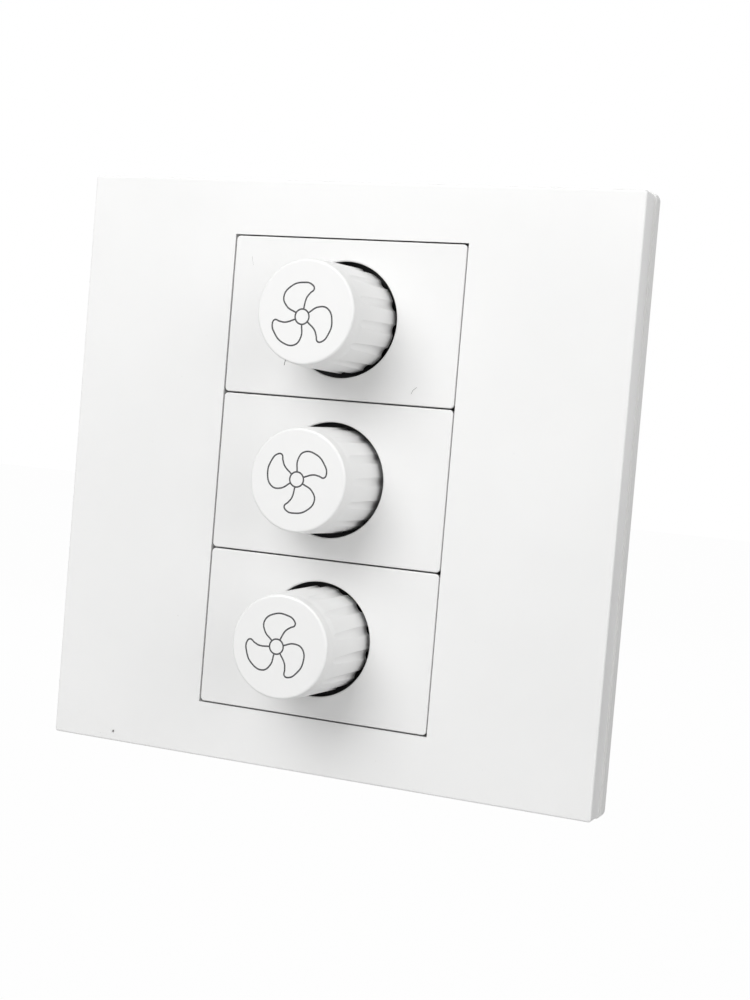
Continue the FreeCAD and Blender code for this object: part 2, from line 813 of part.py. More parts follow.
def make_knob(name, row, turn):
    """White knob: a hollow cap on a hub, its grip ridges flaring from a plain band to the base."""
    body = new_body(f"knob_{name}")
    base = f"({FRONT} + knob_stand_{name} - knob_length)"
    top = f"({FRONT} + knob_stand_{name})"
    cavity = f"({NUT_RADIUS} + nut_clearance)"
    profile = outline(
        new_sketch(body, f"knob_profile_{name}", "XZ_Plane"),
        [
            ("0", top),
            ("knob_face_radius", top),
            ("knob_band_radius", f"{top} - knob_band_length"),
            ("ridge_front_radius", f"{top} - knob_band_length - ridge_ramp_length"),
            ("knob_base_radius", base),
            (cavity, base),
            (cavity, f"{top} - knob_cap"),
            ("hub_radius", f"{top} - knob_cap"),
            ("hub_radius", f"{base} + {HUB_RECESS}"),
            ("0", f"{base} + {HUB_RECESS}"),
        ],
    )
    turned(body, profile)
    edge = hole_edges(body.Shape.BoundBox.ZMax, sizes.knob_face_radius)
    rounded(body, edge, "knob_rim_radius", f"knob_rim_{name}")
    bore = new_sketch(body, f"knob_bore_{name}", z=f"{base} + {HUB_RECESS}")
    flat = "shaft_radius - flat_depth + bore_clearance"
    flatted_circle(bore, "shaft_radius + bore_clearance", flat)
    pocket(body, bore, f"knob_length - {HUB_RECESS} - knob_cap", up=True)
    flute = new_sketch(body, f"knob_flute_{name}", x="flute_floor + flute_radius", z=base)
    circle(flute, "flute_radius")
    cut = pocket(body, flute, "knob_length", up=True)
    ring = body.newObject("PartDesign::PolarPattern", f"knob_flutes_{name}")
    ring.Originals = [cut]
    ring.Axis = (
        next(item for item in body.Origin.OriginFeatures if item.Role == "Z_Axis"),
        [""],
    )
    ring.Angle = FULL_TURN
    tie(ring, Occurrences="flute_count")
    body.Tip = ring
    document.recompute()
    hand_in(body, row, turn)


def make_pot_bush(name, row):
    """Front plate of the potentiometer with its threaded bush, which the shaft turns in."""
    body = new_body(f"pot_bush_{name}")
    bore = "shaft_radius + shaft_clearance"
    profile = outline(
        new_sketch(body, f"bush_profile_{name}", "XZ_Plane"),
        [
            (bore, PLATE_BACK),
            ("pot_radius", PLATE_BACK),
            ("pot_radius", DECK_BACK),
            ("bush_radius", DECK_BACK),
            ("bush_radius", BUSH_FRONT),
            (bore, BUSH_FRONT),
        ],
    )
    turned(body, profile)
    hand_in(body, row)


def make_pot_wafer(name, row):
    """Insulating disc that carries the resistance track, with a lobe for the tags."""
    body = new_body(f"pot_wafer_{name}")
    disc = circle(new_sketch(body, f"wafer_disc_{name}", z=WAFER_BACK), "pot_radius")
    pad(body, disc, "wafer_thickness")
    block(
        body,
        f"wafer_lobe_{name}",
        ("-wafer_lobe_width / 2", "wafer_lobe_width / 2"),
        (f"-{LOBE_REACH}", "-wafer_bore - tag_width"),
        (WAFER_BACK, PLATE_BACK),
    )
    bore = circle(new_sketch(body, f"wafer_bore_{name}", z=PLATE_BACK), "wafer_bore")
    pocket(body, bore, "wafer_thickness")
    hand_in(body, row)


def make_pot_tags(name, row):
    """Three solder tags bent back from the wafer's lobe to the circuit board."""
    tags = []
    outer = f"-{LOBE_REACH}"
    for side in (-1, 0, 1):
        body = new_body(f"pot_tag_{name}_{side + 2}")
        plane_shift = f"{side} * tag_pitch"
        bent = outline(
            new_sketch(body, f"tag_profile_{name}_{side + 2}", "YZ_Plane", z=plane_shift),
            [
                (outer, WAFER_BACK),
                (outer, f"{BOARD_BACK} - tag_tail"),
                (f"{outer} + tag_thickness", f"{BOARD_BACK} - tag_tail"),
                (f"{outer} + tag_thickness", f"{WAFER_BACK} - tag_thickness"),
                (f"{outer} + tag_foot", f"{WAFER_BACK} - tag_thickness"),
                (f"{outer} + tag_foot", WAFER_BACK),
            ],
        )
        pad(body, bent, "tag_width", both_ways=True)
        tags.append(body)
    hand_in(group(f"pot_tags_{name}", tags), row)


def make_pot_can(name, row):
    """Pressed steel cup over the rotor, dented inwards to stop it at both ends of travel."""
    body = new_body(f"pot_can_{name}")
    back = f"({WAFER_BACK} - can_depth)"
    profile = outline(
        new_sketch(body, f"can_profile_{name}", "XZ_Plane"),
        [
            ("0", back),
            ("pot_radius", back),
            ("pot_radius", WAFER_BACK),
            ("pot_radius - can_wall", WAFER_BACK),
            ("pot_radius - can_wall", CAN_INSIDE_BACK),
            ("0", CAN_INSIDE_BACK),
        ],
    )
    turned(body, profile)
    block(
        body,
        f"can_stop_{name}",
        ("-stop_width / 2", "stop_width / 2"),
        ("-pot_radius + can_wall / 2", "-pot_radius + can_wall + stop_reach"),
        (CAN_INSIDE_BACK, ROTOR_FRONT),
    )
    hand_in(body, row)


def make_pot_shaft(name, row, turn):
    """Rotor and flatted shaft moulded as one piece, with a lug that meets the can's stop."""
    body = new_body(f"pot_shaft_{name}")
    rotor_back = f"({ROTOR_FRONT} - rotor_thickness)"
    rear_end = f"({CAN_INSIDE_BACK} + rotor_end_gap)"
    profile = outline(
        new_sketch(body, f"shaft_profile_{name}", "XZ_Plane"),
        [
            ("0", rear_end),
            ("shaft_radius", rear_end),
            ("shaft_radius", rotor_back),
            (ROTOR_RADIUS, rotor_back),
            (ROTOR_RADIUS, ROTOR_FRONT),
            ("shaft_radius", ROTOR_FRONT),
            ("shaft_radius", SHAFT_TIP),
            ("0", SHAFT_TIP),
        ],
    )
    turned(body, profile)
    block(
        body,
        f"shaft_lug_{name}",
        ("-lug_width / 2", "lug_width / 2"),
        ("shaft_radius", f"{ROTOR_RADIUS} + lug_reach"),
        (rotor_back, ROTOR_FRONT),
    )
    block(
        body,
        f"shaft_flat_{name}",
        ("shaft_radius - flat_depth", "2 * shaft_radius"),
        ("-2 * shaft_radius", "2 * shaft_radius"),
        (f"{BUSH_FRONT} + hub_gap / 2", f"{SHAFT_TIP} + flat_depth"),
        cut=True,
    )
    hand_in(body, row, turn)


def make_pot_wiper(name, row, turn):
    """Spring brass ring on the rotor, with one raised contact that runs on the track."""
    body = new_body(f"pot_wiper_{name}")
    rim = f"({ROTOR_RADIUS} - wiper_margin)"
    ring = new_sketch(body, f"wiper_ring_{name}", z=ROTOR_FRONT)
    circle(ring, rim)
    circle(ring, "wiper_bore")
    pad(body, ring, "wiper_thickness")
    block(
        body,
        f"wiper_contact_{name}",
        ("-wiper_contact / 2", "wiper_contact / 2"),
        (f"{rim} - wiper_contact", f"{rim} - wiper_thickness"),
        (ROTOR_FRONT, f"{WAFER_BACK} - wiper_gap"),
    )
    hand_in(body, row, turn)


def make_pot_washer(name, row):
    body = new_body(f"pot_washer_{name}")
    ring = new_sketch(body, f"washer_ring_{name}", z=DECK_FRONT)
    circle(ring, "washer_radius")
    circle(ring, "bush_radius + bush_clearance")
    pad(body, ring, "washer_thickness")
    hand_in(body, row)


def make_pot_nut(name, row):
    """Thin hexagon nut that clamps the potentiometer to the deck."""
    body = new_body(f"pot_nut_{name}")
    hexagon = body.newObject("PartDesign::AdditivePrism", f"nut_hexagon_{name}")
    place_on(hexagon, body, "XY_Plane", z=f"{DECK_FRONT} + washer_thickness")
    tie(hexagon, Polygon="nut_sides", Circumradius=NUT_RADIUS, Height="nut_thickness")
    document.recompute()
    drill(
        body,
        f"nut_bore_{name}",
        "XY_Plane",
        "bush_radius + shaft_clearance",
        "nut_thickness",
        z=f"{DECK_FRONT} + washer_thickness + nut_thickness / 2",
    )
    hand_in(body, row)


def make_circuit_board(name, row):
    """Glass-fibre board on the case's ribs, notched at its lower edge for the tags."""
    body = new_body(f"circuit_board_{name}")
    height = f"({INSIDE_HEIGHT} - 2 * board_clearance)"
    board = new_sketch(body, f"board_outline_{name}", z="-board_level")
    rectangle(board, f"{INSIDE_WIDTH} - 2 * board_clearance", height)
    pad(body, board, "board_thickness", down=True)
    for side in (-1, 0, 1):
        middle = f"{side} * tag_pitch"
        reach = "(tag_width / 2 + notch_clearance)"
        block(
            body,
            f"board_notch_{name}_{side + 2}",
            (f"{middle} - {reach}", f"{middle} + {reach}"),
            (f"-{height}", f"-{LOBE_REACH} + tag_thickness + notch_clearance"),
            (f"{BOARD_BACK} - board_thickness", "-board_level + board_thickness"),
            cut=True,
        )
    hand_in(body, row)


def make_triac(name, row):
    """Flat power switch with a metal tab, lying behind the board on three bent leads."""
    body = new_body(f"triac_{name}")
    front = f"({TRIAC_BACK} + triac_thickness)"
    low = f"({TRIAC_Y} - triac_width / 2)"
    high = f"({TRIAC_Y} + triac_width / 2)"
    end = "(triac_start + triac_body)"
    block(body, f"triac_body_{name}", ("triac_start", end), (low, high), (TRIAC_BACK, front))
    block(
        body,
        f"triac_tab_{name}",
        (end, f"{end} + triac_tab"),
        (low, high),
        (TRIAC_BACK, f"{TRIAC_BACK} + triac_tab_thickness"),
    )
    drill(
        body,
        f"triac_hole_{name}",
        "XY_Plane",
        "peg_radius + peg_clearance",
        "triac_tab_thickness",
        x=f"{end} + triac_tab / 2",
        y=TRIAC_Y,
        z=f"{TRIAC_BACK} + triac_tab_thickness / 2",
    )
    level = f"({TRIAC_BACK} + triac_thickness / 2)"
    far = "(triac_start - lead_reach)"
    for side in (-1, 0, 1):
        lead = outline(
            new_sketch(
                body,
                f"triac_lead_{name}_{side + 2}",
                "XZ_Plane",
                z=f"-{TRIAC_Y} - {side} * lead_pitch",
            ),
            [
                ("triac_start", level),
                (far, level),
                (far, BOARD_BACK),
                (f"{far} + lead_thickness", BOARD_BACK),
                (f"{far} + lead_thickness", f"{level} + lead_thickness"),
                ("triac_start", f"{level} + lead_thickness"),
            ],
        )
        pad(body, lead, "lead_width", both_ways=True)
    hand_in(body, row)


def make_heat_sink(name, row):
    """Aluminium channel on the triac's tab, its peg upset in the tab's hole, its fins to the cover."""
    body = new_body(f"heat_sink_{name}")
    left = "(triac_start - sink_margin)"
    right = "(triac_start + triac_body + triac_tab + sink_margin)"
    back = f"({TRIAC_BACK} - sink_thickness)"
    fin = "(plug_depth + sink_end_gap - case_depth)"
    channel = outline(
        new_sketch(body, f"sink_profile_{name}", "XZ_Plane", z=f"-{TRIAC_Y}"),
        [
            (left, TRIAC_BACK),
            (left, fin),
            (f"{left} + sink_thickness", fin),
            (f"{left} + sink_thickness", back),
            (f"{right} - sink_thickness", back),
            (f"{right} - sink_thickness", fin),
            (right, fin),
            (right, TRIAC_BACK),
        ],
    )
    pad(body, channel, "sink_width", both_ways=True)
    peg = new_sketch(
        body,
        f"sink_peg_{name}",
        x="triac_start + triac_body + triac_tab / 2",
        y=TRIAC_Y,
        z=TRIAC_BACK,
    )
    pad(body, circle(peg, "peg_radius"), "triac_tab_thickness")
    hand_in(body, row)


def make_capacitor(name, row):
    """Boxed film capacitor standing on the board."""
    body = new_body(f"capacitor_{name}")
    below_triac = f"{TRIAC_Y} - triac_width / 2 - capacitor_gap - capacitor_width / 2"
    box = new_sketch(body, f"capacitor_outline_{name}", y=below_triac, z=BOARD_BACK)
    rectangle(box, "capacitor_length", "capacitor_width")
    pad(body, box, "capacitor_height", down=True)
    back = body.Shape.BoundBox.ZMin
    rounded(
        body,
        lambda edge: near(edge.ZLength, 0) and near(edge.ZMin, back),
        "capacitor_radius",
        f"capacitor_edges_{name}",
    )
    hand_in(body, row)


def make_choke(name, row):
    """Drum-core choke in the corner of the case, its winding between two flanges."""
    body = new_body(f"choke_{name}")
    foot = BOARD_BACK
    head = f"({BOARD_BACK} - choke_height)"
    waist = "choke_radius - choke_lip"
    across = f"choke_gap + choke_radius - {INSIDE_WIDTH} / 2"
    up = f"{INSIDE_HEIGHT} / 2 - choke_gap - choke_radius"
    profile = outline(
        new_sketch(body, f"choke_profile_{name}", "XZ_Plane", x=across, z=f"-({up})"),
        [
            ("0", foot),
            ("0", head),
            ("choke_radius", head),
            ("choke_radius", f"{head} + choke_flange"),
            (waist, f"{head} + choke_flange"),
            (waist, f"{foot} - choke_flange"),
            ("choke_radius", f"{foot} - choke_flange"),
            ("choke_radius", foot),
        ],
    )
    turned(body, profile)
    hand_in(body, row)


def make_terminal_clamps(name, row):
    """Two brass blocks behind the board, each bored for a wire and tapped for its screw."""
    body = new_body(f"terminal_clamp_{name}")
    block(
        body,
        f"clamp_block_{name}",
        (f"{TERMINAL_X} - clamp_width / 2", f"{TERMINAL_X} + clamp_width / 2"),
        (f"{TERMINAL_Y} - clamp_breadth / 2", f"{TERMINAL_Y} + clamp_breadth / 2"),
        (CLAMP_BACK, CLAMP_FRONT),
    )
    block(
        body,
        f"clamp_leg_{name}",
        (
            f"{TERMINAL_X} - clamp_leg_width / 2",
            f"{TERMINAL_X} + clamp_leg_width / 2",
        ),
        (
            f"{TERMINAL_Y} - clamp_leg_thickness / 2",
            f"{TERMINAL_Y} + clamp_leg_thickness / 2",
        ),
        (CLAMP_FRONT, BOARD_BACK),
    )
    drill(
        body,
        f"clamp_wire_hole_{name}",
        "YZ_Plane",
        "clamp_wire_radius",
        "clamp_width",
        x=TERMINAL_Y,
        y=WIRE_LEVEL,
        z=TERMINAL_X,
    )
    drill(
        body,
        f"clamp_screw_hole_{name}",
        "XY_Plane",
        "terminal_screw_radius + screw_clearance",
        f"({CLAMP_FRONT} - {CLAMP_BACK}) / 2",
        x=TERMINAL_X,
        y=TERMINAL_Y,
        z=CLAMP_BACK,
    )
    hand_in(group(f"terminal_clamps_{name}", [body, left_copy(body)]), row)


def make_terminal_screws(name, row):
    """Two slotted screws, backed out a little so that the wire holes are clear."""
    body = new_body(f"terminal_screw_{name}")
    under_head = f"({CLAMP_BACK} - screw_backed_out)"
    top = f"({under_head} - screw_head_height)"
    shank = new_sketch(body, f"screw_shank_{name}", x=TERMINAL_X, y=TERMINAL_Y, z=under_head)
    circle(shank, "terminal_screw_radius")
    pad(body, shank, "screw_backed_out + screw_bite")
    head = new_sketch(body, f"screw_head_{name}", x=TERMINAL_X, y=TERMINAL_Y, z=under_head)
    circle(head, "screw_head_radius")
    pad(body, head, "screw_head_height", down=True)
    block(
        body,
        f"screw_slot_{name}",
        (f"{TERMINAL_X} - 2 * screw_head_radius", f"{TERMINAL_X} + 2 * screw_head_radius"),
        (
            f"{TERMINAL_Y} - screw_slot_width / 2",
            f"{TERMINAL_Y} + screw_slot_width / 2",
        ),
        (f"{top} - screw_slot_depth", f"{top} + screw_slot_depth"),
        cut=True,
    )
    hand_in(group(f"terminal_screws_{name}", [body, left_copy(body)]), row)


ROWS = (("top", 1), ("middle", 0), ("bottom", -1))

make_front_panel()
make_mounting_frame()
for name, row in ROWS:
    # A rotor's lug points up at mid travel, so each rotor stands half the travel short of it,
    # less the turn that its knob has been given.
    turn = f"(knob_travel / 2 - knob_turn_{name})"
    make_module_face(name, row)
    make_module_case(name, row)
    make_rear_cover(name, row)
    make_knob(name, row, turn)
    make_pot_bush(name, row)
    make_pot_washer(name, row)
    make_pot_nut(name, row)
    make_pot_wafer(name, row)
    make_pot_tags(name, row)
    make_pot_can(name, row)
    make_pot_shaft(name, row, turn)
    make_pot_wiper(name, row, turn)
    make_circuit_board(name, row)
    make_triac(name, row)
    make_heat_sink(name, row)
    make_capacitor(name, row)
    make_choke(name, row)
    make_terminal_clamps(name, row)
    make_terminal_screws(name, row)

document.recompute()
for item in document.Objects:
    if "Invalid" in item.State or "Error" in item.State:
        raise RuntimeError(f"{item.Label} failed: {item.State}")
for piece in sub_parts:
    if piece.Shape.isNull() or not piece.Shape.isValid():
        raise RuntimeError(f"{piece.Label} has no valid shape")

os.makedirs("parts", exist_ok=True)
for piece in sub_parts:
    piece.Shape.exportStep(f"parts/{piece.Label}.step")
    print(f"{piece.Label}: {len(piece.Shape.Solids)} solid(s), {piece.Shape.Volume:.1f} mm3")
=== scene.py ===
import math

import bpy
from mathutils import Matrix, Vector


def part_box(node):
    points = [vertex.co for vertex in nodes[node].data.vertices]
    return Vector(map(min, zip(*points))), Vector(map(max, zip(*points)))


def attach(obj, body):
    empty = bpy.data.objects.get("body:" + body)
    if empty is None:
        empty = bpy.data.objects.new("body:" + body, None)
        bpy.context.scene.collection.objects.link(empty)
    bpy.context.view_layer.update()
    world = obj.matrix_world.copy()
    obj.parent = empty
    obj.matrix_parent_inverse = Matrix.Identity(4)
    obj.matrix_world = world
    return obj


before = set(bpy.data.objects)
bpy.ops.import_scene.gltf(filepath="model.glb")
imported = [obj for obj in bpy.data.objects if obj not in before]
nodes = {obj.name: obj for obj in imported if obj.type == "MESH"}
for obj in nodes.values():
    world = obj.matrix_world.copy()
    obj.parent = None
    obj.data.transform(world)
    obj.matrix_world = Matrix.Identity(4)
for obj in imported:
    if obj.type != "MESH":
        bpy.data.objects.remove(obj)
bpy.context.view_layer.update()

# Mounting frame: the carrier that is screwed to the wall box and holds everything else. It is
# injection moulded in white polycarbonate, with the even satin grain of a spark-eroded tool.
FRAME_WHITE = (0.80, 0.80, 0.79, 1.0)
PLASTIC_IOR = 1.5
FLOW_CLOUDS_PER_METRE = 45.0
GRAINS_PER_METRE = 5200.0
GRAIN_STRENGTH = 0.35
GLOSS_SPREAD = 0.05


def new_finish(name):
    """Open a material, and return it with its node tree, its shader and its object coordinates."""
    finish = bpy.data.materials.new(name)
    finish.use_nodes = True
    tree = finish.node_tree
    place = tree.nodes.new("ShaderNodeTexCoord").outputs["Object"]
    return finish, tree, tree.nodes["Principled BSDF"], place


def add_noise(tree, place, per_metre, detail):
    """Add soft clouds, so many per metre, and return how strong they are."""
    clouds = tree.nodes.new("ShaderNodeTexNoise")
    clouds.inputs["Scale"].default_value = per_metre
    clouds.inputs["Detail"].default_value = detail
    tree.links.new(place, clouds.inputs["Vector"])
    return clouds.outputs["Fac"]


def add_tint(tree, amount, dark, light, low=0.0, high=1.0):
    """Return a colour that goes from dark to light while amount goes from low to high."""
    tint = tree.nodes.new("ShaderNodeValToRGB")
    tint.color_ramp.elements[0].position = low
    tint.color_ramp.elements[1].position = high
    tint.color_ramp.elements[0].color = dark
    tint.color_ramp.elements[1].color = light
    tree.links.new(amount, tint.inputs["Fac"])
    return tint.outputs["Color"]


def add_range(tree, amount, first, last, low=0.0, high=1.0):
    """Return a value that goes from first to last while amount goes from low to high."""
    span = tree.nodes.new("ShaderNodeMapRange")
    span.inputs["From Min"].default_value = low
    span.inputs["From Max"].default_value = high
    span.inputs["To Min"].default_value = first
    span.inputs["To Max"].default_value = last
    tree.links.new(amount, span.inputs["Value"])
    return span.outputs["Result"]


def add_relief(tree, shader, height, strength, distance):
    """Give the surface a fine relief, at most distance high."""
    relief = tree.nodes.new("ShaderNodeBump")
    relief.inputs["Strength"].default_value = strength
    relief.inputs["Distance"].default_value = distance
    tree.links.new(height, relief.inputs["Height"])
    tree.links.new(relief.outputs["Normal"], shader.inputs["Normal"])


def shade(colour, share):
    """Return a share of a colour's brightness."""
    return [channel * share for channel in colour[:3]] + [1.0]


def moulded_plastic(name, colour, roughness, grain_height, flow_depth=0.03,
                    flow_clouds=FLOW_CLOUDS_PER_METRE):
    """Plastic as it leaves the tool: faint flow clouds, a fine even grain and soft gloss."""
    finish, tree, shader, place = new_finish(name)
    shader.inputs["IOR"].default_value = PLASTIC_IOR
    flow = add_noise(tree, place, flow_clouds, detail=3.0)
    tint = add_tint(tree, flow, shade(colour, 1 - flow_depth), colour, low=0.3, high=0.7)
    tree.links.new(tint, shader.inputs["Base Color"])
    grain = add_noise(tree, place, GRAINS_PER_METRE, detail=2.0)
    gloss = add_range(tree, grain, roughness - GLOSS_SPREAD, roughness + GLOSS_SPREAD)
    tree.links.new(gloss, shader.inputs["Roughness"])
    add_relief(tree, shader, grain, GRAIN_STRENGTH, grain_height)
    return finish


def finish_node(node, finish):
    """Give a solid of the frame its material."""
    piece = nodes[node]
    piece.data.materials.clear()
    piece.data.materials.append(finish)


frame_polycarbonate = moulded_plastic(
    "frame_polycarbonate", FRAME_WHITE, roughness=0.5, grain_height=0.00001
)
finish_node("mounting_frame", frame_polycarbonate)

# Module cases: three deep boxes that clip into the frame from behind, moulded in black
# glass-filled nylon, which leaves a coarser, drier surface than the white pieces have.
CASE_BLACK = (0.022, 0.022, 0.024, 1.0)
MODULES = ("top", "middle", "bottom")


def finish_modules(piece, finish):
    """Give the like pieces of all modules their material."""
    for module in MODULES:
        finish_node(f"{piece}_{module}", finish)


case_nylon = moulded_plastic(
    "case_nylon", CASE_BLACK, roughness=0.55, grain_height=0.00003, flow_depth=0.3
)
finish_modules("module_case", case_nylon)

# Potentiometers: a die-cast zinc bush held by a plated washer and nut, a phenolic wafer with
# tinned tags, a pressed steel can at the back, and a nylon shaft that carries a brass wiper.
BUSH_ZINC = (0.56, 0.56, 0.58, 1.0)
PLATED_STEEL = (0.66, 0.65, 0.62, 1.0)
TINNED_BRASS = (0.72, 0.71, 0.67, 1.0)
SPRING_BRASS = (0.78, 0.57, 0.25, 1.0)
ROTOR_IVORY = (0.70, 0.66, 0.54, 1.0)
PHENOLIC_DARK = (0.115, 0.050, 0.020, 1.0)
PHENOLIC_LIGHT = (0.225, 0.110, 0.048, 1.0)
STREAK_SHADE = 0.82
STREAK_HEIGHT = 0.00002
WEAVE_HEIGHT = 0.00002
BANDS_PER_SCALE = 20


def bare_metal(name, colour, roughness, streaks):
    """Metal with the fine streaks that its tool left: streaks is their count per metre on x, y, z."""
    finish, tree, shader, place = new_finish(name)
    shader.inputs["Metallic"].default_value = 1.0
    stretch = tree.nodes.new("ShaderNodeMapping")
    stretch.inputs["Scale"].default_value = streaks
    tree.links.new(place, stretch.inputs["Vector"])
    marks = add_noise(tree, stretch.outputs["Vector"], per_metre=1.0, detail=4.0)
    tint = add_tint(tree, marks, shade(colour, STREAK_SHADE), colour, low=0.25, high=0.75)
    tree.links.new(tint, shader.inputs["Base Color"])
    gloss = add_range(tree, marks, roughness - 0.08, roughness + 0.12)
    tree.links.new(gloss, shader.inputs["Roughness"])
    add_relief(tree, shader, marks, 0.2, STREAK_HEIGHT)
    return finish


def add_bands(tree, place, direction, per_metre, waver, detail):
    """Add parallel bands across a direction, so many per metre, and return how strong they are."""
    bands = tree.nodes.new("ShaderNodeTexWave")
    bands.bands_direction = direction
    bands.inputs["Scale"].default_value = per_metre / BANDS_PER_SCALE
    bands.inputs["Distortion"].default_value = waver
    bands.inputs["Detail"].default_value = detail
    tree.links.new(place, bands.inputs["Vector"])
    return bands.outputs["Fac"]


def join(tree, operation, first, second):
    """Return two values joined by a sum of the given kind."""
    joined = tree.nodes.new("ShaderNodeMath")
    joined.operation = operation
    tree.links.new(first, joined.inputs[0])
    tree.links.new(second, joined.inputs[1])
    return joined.outputs["Value"]


def pressed_laminate(name, dark, light, weave, roughness):
    """Resin board with its filler showing through as a crossed weave of weave threads per metre."""
    finish, tree, shader, place = new_finish(name)
    shader.inputs["Roughness"].default_value = roughness
    warp = add_bands(tree, place, "X", weave, waver=1.5, detail=2.0)
    weft = add_bands(tree, place, "Z", weave, waver=1.5, detail=2.0)
    crossing = join(tree, "MULTIPLY", warp, weft)
    tree.links.new(add_tint(tree, crossing, dark, light), shader.inputs["Base Color"])
    add_relief(tree, shader, crossing, 0.15, WEAVE_HEIGHT)
    return finish


bush_zinc = bare_metal("bush_zinc_casting", BUSH_ZINC, roughness=0.42, streaks=(900, 900, 900))
plated_steel = bare_metal("plated_steel", PLATED_STEEL, roughness=0.3, streaks=(2600, 260, 2600))
tinned_brass = bare_metal("tinned_brass", TINNED_BRASS, roughness=0.36, streaks=(500, 500, 3000))
spring_brass = bare_metal("spring_brass", SPRING_BRASS, roughness=0.3, streaks=(3000, 500, 400))
rotor_nylon = moulded_plastic(
    "rotor_nylon", ROTOR_IVORY, roughness=0.45, grain_height=0.00001, flow_depth=0.08
)
phenolic = pressed_laminate(
    "phenolic_paper", PHENOLIC_DARK, PHENOLIC_LIGHT, weave=2400, roughness=0.5
)
finish_modules("pot_bush", bush_zinc)
finish_modules("pot_washer", plated_steel)
finish_modules("pot_nut", plated_steel)
finish_modules("pot_can", plated_steel)
finish_modules("pot_tags", tinned_brass)
finish_modules("pot_wiper", spring_brass)
finish_modules("pot_shaft", rotor_nylon)
finish_modules("pot_wafer", phenolic)

# Circuit boards: woven glass and resin under green lacquer. Each carries a triac in moulded
# black epoxy on a rolled aluminium heat sink, a dipped yellow film capacitor and a drum choke.
BOARD_DARK = (0.010, 0.075, 0.028, 1.0)
BOARD_LIGHT = (0.020, 0.125, 0.050, 1.0)
EPOXY_BLACK = (0.030, 0.029, 0.028, 1.0)
SINK_ALUMINIUM = (0.78, 0.78, 0.79, 1.0)
CAPACITOR_YELLOW = (0.72, 0.42, 0.040, 1.0)
CHOKE_FERRITE = (0.045, 0.043, 0.042, 1.0)
CHOKE_COPPER = (0.42, 0.130, 0.045, 1.0)
CHOKE_COPPER_SHADE = (0.13, 0.035, 0.014, 1.0)
CHOKE_ROUGHNESS = 0.4
CHOKE_FLANGE = 0.0012
TURNS_PER_METRE = 3200
TURN_HEIGHT = 0.00008
FERRITE_GRAINS_PER_METRE = 3000.0
FERRITE_SHADE = 0.6


def wound_choke(name, front, back):
    """Ferrite drum with lacquered copper turns on its waist, between the levels front and back."""
    finish, tree, shader, place = new_finish(name)
    shader.inputs["Roughness"].default_value = CHOKE_ROUGHNESS
    turns = add_bands(tree, place, "Y", TURNS_PER_METRE, waver=0.4, detail=2.0)
    wire = add_tint(tree, turns, CHOKE_COPPER_SHADE, CHOKE_COPPER)
    sinter = add_noise(tree, place, FERRITE_GRAINS_PER_METRE, detail=2.0)
    drum = add_tint(tree, sinter, shade(CHOKE_FERRITE, FERRITE_SHADE), CHOKE_FERRITE)

    depth = tree.nodes.new("ShaderNodeSeparateXYZ")
    tree.links.new(place, depth.inputs["Vector"])
    waist = tree.nodes.new("ShaderNodeMath")
    waist.operation = "COMPARE"
    waist.inputs[1].default_value = (front + back) / 2
    waist.inputs[2].default_value = (back - front) / 2
    tree.links.new(depth.outputs["Y"], waist.inputs[0])
    surface = tree.nodes.new("ShaderNodeMix")
    surface.data_type = "RGBA"
    tree.links.new(waist.outputs["Value"], surface.inputs["Factor"])
    tree.links.new(drum, surface.inputs["A"])
    tree.links.new(wire, surface.inputs["B"])
    tree.links.new(surface.outputs["Result"], shader.inputs["Base Color"])
    add_relief(tree, shader, turns, 0.6, TURN_HEIGHT)
    return finish


board_glass = pressed_laminate(
    "board_green_lacquer", BOARD_DARK, BOARD_LIGHT, weave=1800, roughness=0.35
)
triac_epoxy = moulded_plastic(
    "triac_epoxy", EPOXY_BLACK, roughness=0.5, grain_height=0.00003, flow_depth=0.2
)
sink_aluminium = bare_metal(
    "sink_aluminium", SINK_ALUMINIUM, roughness=0.34, streaks=(260, 260, 3600)
)
capacitor_dip = moulded_plastic(
    "capacitor_dip", CAPACITOR_YELLOW, roughness=0.3, grain_height=0.00002, flow_depth=0.12
)
drum_front, drum_back = (corner[1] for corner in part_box("choke_top"))
choke_drum = wound_choke("choke_drum", drum_front + CHOKE_FLANGE, drum_back - CHOKE_FLANGE)
finish_modules("circuit_board", board_glass)
finish_modules("triac", triac_epoxy)
finish_modules("heat_sink", sink_aluminium)
finish_modules("capacitor", capacitor_dip)
finish_modules("choke", choke_drum)

# Terminals: a sawn brass clamp at each side of a module takes the bare wire, and a plated steel
# screw pinches it. The screw heads are reached through the holes of the rear cover.
CLAMP_BRASS = (0.70, 0.50, 0.22, 1.0)

clamp_brass = bare_metal("clamp_brass", CLAMP_BRASS, roughness=0.34, streaks=(3200, 400, 400))
finish_modules("terminal_clamps", clamp_brass)
finish_modules("terminal_screws", plated_steel)

# Rear covers: lids moulded in the same black nylon as the cases. Each is pushed in from behind
# after the board, and its holes lead a screwdriver to the terminal screws.
finish_modules("rear_cover", case_nylon)

# Module faces: the white front of each module, moulded in polycarbonate and clipped to its case.
# They sit flush in the panel, with a hairline joint all round. Fine dust clings to their fronts,
# and the walls of the joint between two of them are darkened with painted shade.
FACE_WHITE = (0.845, 0.845, 0.84, 1.0)
DUST_GREY = (0.55, 0.54, 0.52, 1.0)
SPECKS_PER_METRE = 240.0
SPECK_CORE = 0.008
SPECK_EDGE = 0.024
SPECK_COVER = 0.6
# Painted shade: a near-black colour laid on the joint walls behind the faces' front, standing in for
# the shade inside the narrow joint.
JOINT_SHADE_BLACK = (0.035, 0.034, 0.032, 1.0)
JOINT_SHADE_START = 0.00012
JOINT_SHADE_FULL = 0.0004
JOINT_SHADE_COVER = 0.95


